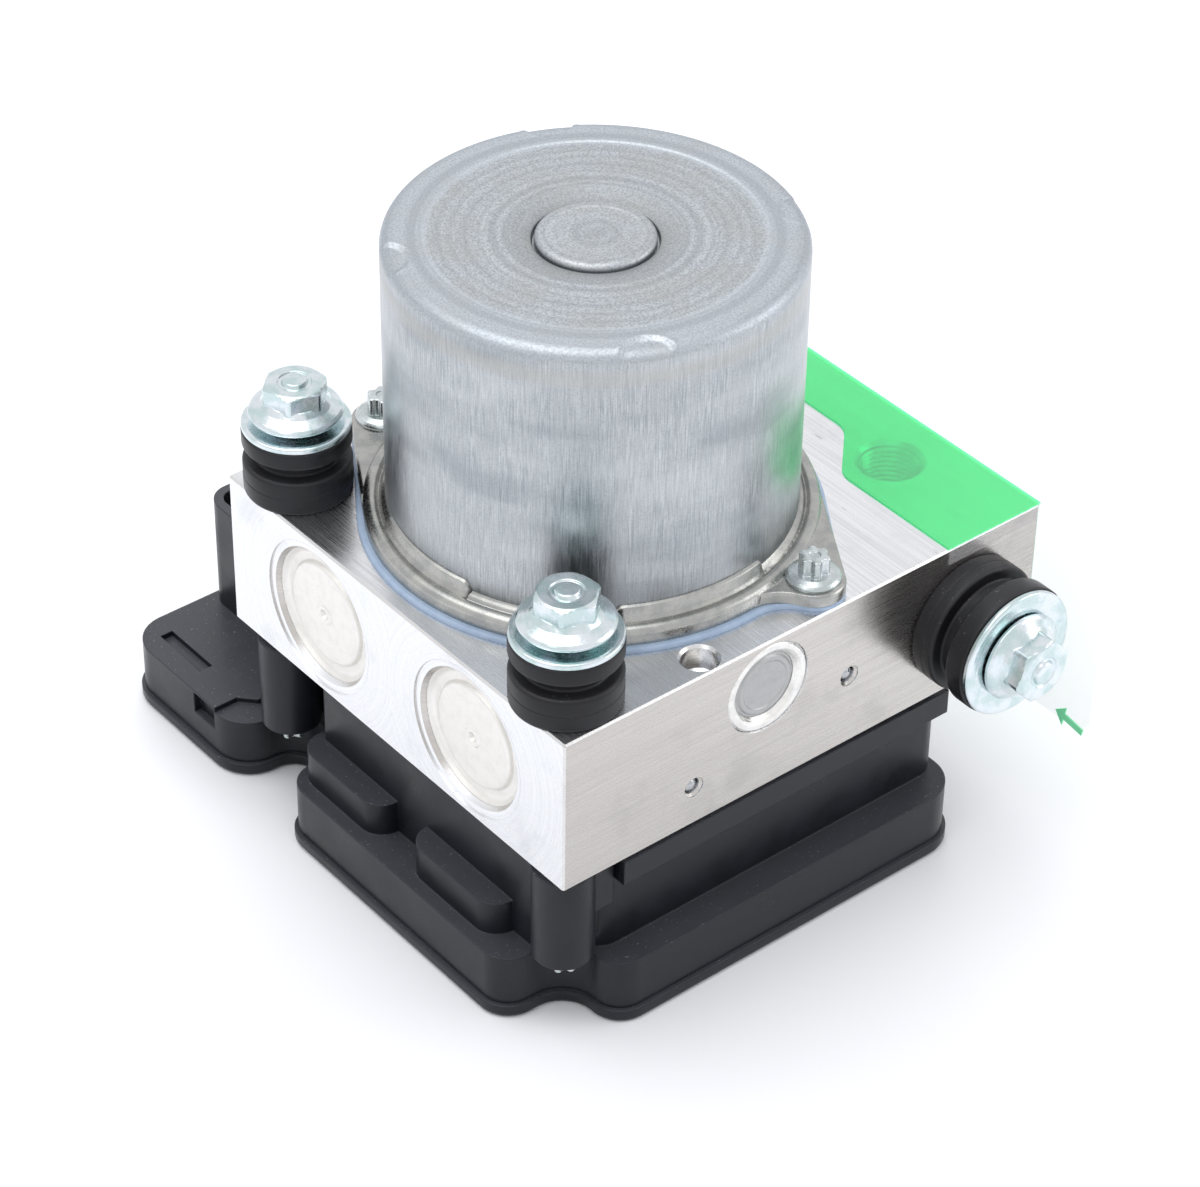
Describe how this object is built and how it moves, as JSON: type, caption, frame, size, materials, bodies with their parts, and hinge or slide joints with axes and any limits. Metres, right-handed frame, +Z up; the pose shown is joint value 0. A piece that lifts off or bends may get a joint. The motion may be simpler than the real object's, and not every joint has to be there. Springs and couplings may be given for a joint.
{
  "type": "abs brake module",
  "caption": "Anti-lock brake control module: milled hydraulic block with pump motor, rubber mounts and a control unit under it.",
  "frame": {"origin": "motor axis at the underside of the control unit's cover", "axes": "+Z up the motor axis, +X towards the pipe ports, +Y towards the electrical connector"},
  "size_m": [0.1085, 0.1468, 0.122],
  "materials": {
    "zinc_steel": "dull zinc plate on deep-drawn steel",
    "bright_zinc": "bright blue-white zinc plate",
    "milled_aluminium": "milled, bright",
    "bearing_steel": "ground",
    "sheet_steel": "stamped electrical sheet",
    "ferrite": "sintered, matt",
    "copper_wire": "enamelled copper wire",
    "commutator_copper": "turned copper",
    "carbon": "pressed carbon",
    "spring_steel": "drawn wire",
    "tin_plate": "tin-plated copper alloy",
    "rubber": "moulded, satin",
    "blue_seal": "soft coated gasket",
    "black_plastic": "moulded glass-filled polyamide",
    "tan_plastic": "moulded phenolic",
    "green_board": "solder mask",
    "green_film": "translucent peel-off film"
  },
  "bodies": {
    "module": {"accumulator_cap_1": "milled_aluminium", "accumulator_cap_2": "milled_aluminium", "accumulator_spring_1": "spring_steel", "accumulator_spring_2": "spring_steel", "ball_plugs": "bearing_steel", "brush_holder": "tan_plastic", "brush_spring_1": "spring_steel", "brush_spring_2": "spring_steel", "circuit_board": "green_board", "coil_yokes": "sheet_steel", "connector_pins": "tin_plate", "damper_bolts": "bright_zinc", "damper_bushes": "bright_zinc", "damper_rubber_front": "rubber", "damper_rubber_left": "rubber", "damper_rubber_side": "rubber", "ecu_cover": "black_plastic", "ecu_housing": "black_plastic", "ecu_screws": "bright_zinc", "ecu_seal": "blue_seal", "front_bearing": "bearing_steel", "hydraulic_block": "milled_aluminium", "inlet_valves": "bearing_steel", "motor_housing": "zinc_steel", "motor_magnets": "ferrite", "motor_screws": "bright_zinc", "motor_seal": "blue_seal", "motor_terminals": "tin_plate", "outlet_valves": "bearing_steel", "port_film": "green_film", "pump_plug_1": "bearing_steel", "pump_plug_2": "bearing_steel", "pump_sleeve_1": "bearing_steel", "pump_sleeve_2": "bearing_steel", "pump_spring_1": "spring_steel", "pump_spring_2": "spring_steel", "rear_bearing": "bearing_steel", "valve_coils": "copper_wire"},
    "rotor": {"motor_shaft": "bearing_steel", "armature_core": "sheet_steel", "armature_windings": "copper_wire", "commutator": "commutator_copper", "eccentric": "bearing_steel"},
    "cam_ring": {"cam_ring": "bearing_steel"},
    "pump_piston_1": {"pump_piston_1": "bearing_steel"},
    "pump_piston_2": {"pump_piston_2": "bearing_steel"},
    "accumulator_piston_1": {"accumulator_piston_1": "milled_aluminium", "accumulator_ring_1": "rubber"},
    "accumulator_piston_2": {"accumulator_piston_2": "milled_aluminium", "accumulator_ring_2": "rubber"},
    "brush_1": {"brush_1": "carbon"},
    "brush_2": {"brush_2": "carbon"},
    "valve_armature_1": {"valve_armature_1": "bearing_steel"},
    "valve_armature_2": {"valve_armature_2": "bearing_steel"},
    "valve_armature_3": {"valve_armature_3": "bearing_steel"},
    "valve_armature_4": {"valve_armature_4": "bearing_steel"},
    "valve_armature_5": {"valve_armature_5": "bearing_steel"},
    "valve_armature_6": {"valve_armature_6": "bearing_steel"},
    "valve_armature_7": {"valve_armature_7": "bearing_steel"},
    "valve_armature_8": {"valve_armature_8": "bearing_steel"}
  },
  "joints": [
    {"name": "rotor_turn", "type": "hinge", "parent": "module", "child": "rotor", "pos_m": [0, 0, 0.0665], "axis": [0, 0, 1], "continuous": true},
    {"name": "cam_ring_turn", "type": "hinge", "parent": "rotor", "child": "cam_ring", "pos_m": [0.0011, 0, 0.0569], "axis": [0, 0, 1], "continuous": true},
    {"name": "pump_piston_slide_1", "type": "slide", "parent": "module", "child": "pump_piston_1", "axis": [0, -1, 0], "range_m": [0, 0.0022], "stiffness_N_per_m": 1500, "deforming": ["pump_spring_1"]},
    {"name": "pump_piston_slide_2", "type": "slide", "parent": "module", "child": "pump_piston_2", "axis": [0, 1, 0], "range_m": [0, 0.0022], "stiffness_N_per_m": 1500, "deforming": ["pump_spring_2"]},
    {"name": "accumulator_slide_1", "type": "slide", "parent": "module", "child": "accumulator_piston_1", "axis": [-1, 0, 0], "range_m": [0, 0.006], "stiffness_N_per_m": 4000, "deforming": ["accumulator_spring_1"]},
    {"name": "accumulator_slide_2", "type": "slide", "parent": "module", "child": "accumulator_piston_2", "axis": [-1, 0, 0], "range_m": [0, 0.006], "stiffness_N_per_m": 4000, "deforming": ["accumulator_spring_2"]},
    {"name": "brush_slide_1", "type": "slide", "parent": "module", "child": "brush_1", "axis": [0, 1, 0], "range_m": [0, 0.003], "stiffness_N_per_m": 300, "deforming": ["brush_spring_1"]},
    {"name": "brush_slide_2", "type": "slide", "parent": "module", "child": "brush_2", "axis": [0, -1, 0], "range_m": [0, 0.003], "stiffness_N_per_m": 300, "deforming": ["brush_spring_2"]},
    {"name": "valve_lift_1", "type": "slide", "parent": "module", "child": "valve_armature_1", "axis": [0, 0, 1], "range_m": [0, 0.0003]},
    {"name": "valve_lift_2", "type": "slide", "parent": "module", "child": "valve_armature_2", "axis": [0, 0, 1], "range_m": [0, 0.0003]},
    {"name": "valve_lift_3", "type": "slide", "parent": "module", "child": "valve_armature_3", "axis": [0, 0, 1], "range_m": [0, 0.0003]},
    {"name": "valve_lift_4", "type": "slide", "parent": "module", "child": "valve_armature_4", "axis": [0, 0, 1], "range_m": [0, 0.0003]},
    {"name": "valve_lift_5", "type": "slide", "parent": "module", "child": "valve_armature_5", "axis": [0, 0, 1], "range_m": [0, 0.0003]},
    {"name": "valve_lift_6", "type": "slide", "parent": "module", "child": "valve_armature_6", "axis": [0, 0, 1], "range_m": [0, 0.0003]},
    {"name": "valve_lift_7", "type": "slide", "parent": "module", "child": "valve_armature_7", "axis": [0, 0, 1], "range_m": [0, 0.0003]},
    {"name": "valve_lift_8", "type": "slide", "parent": "module", "child": "valve_armature_8", "axis": [0, 0, 1], "range_m": [0, 0.0003]}
  ],
  "couplings": [
    {"joint": "cam_ring_turn", "follows": "rotor_turn", "ratio": -1}
  ]
}
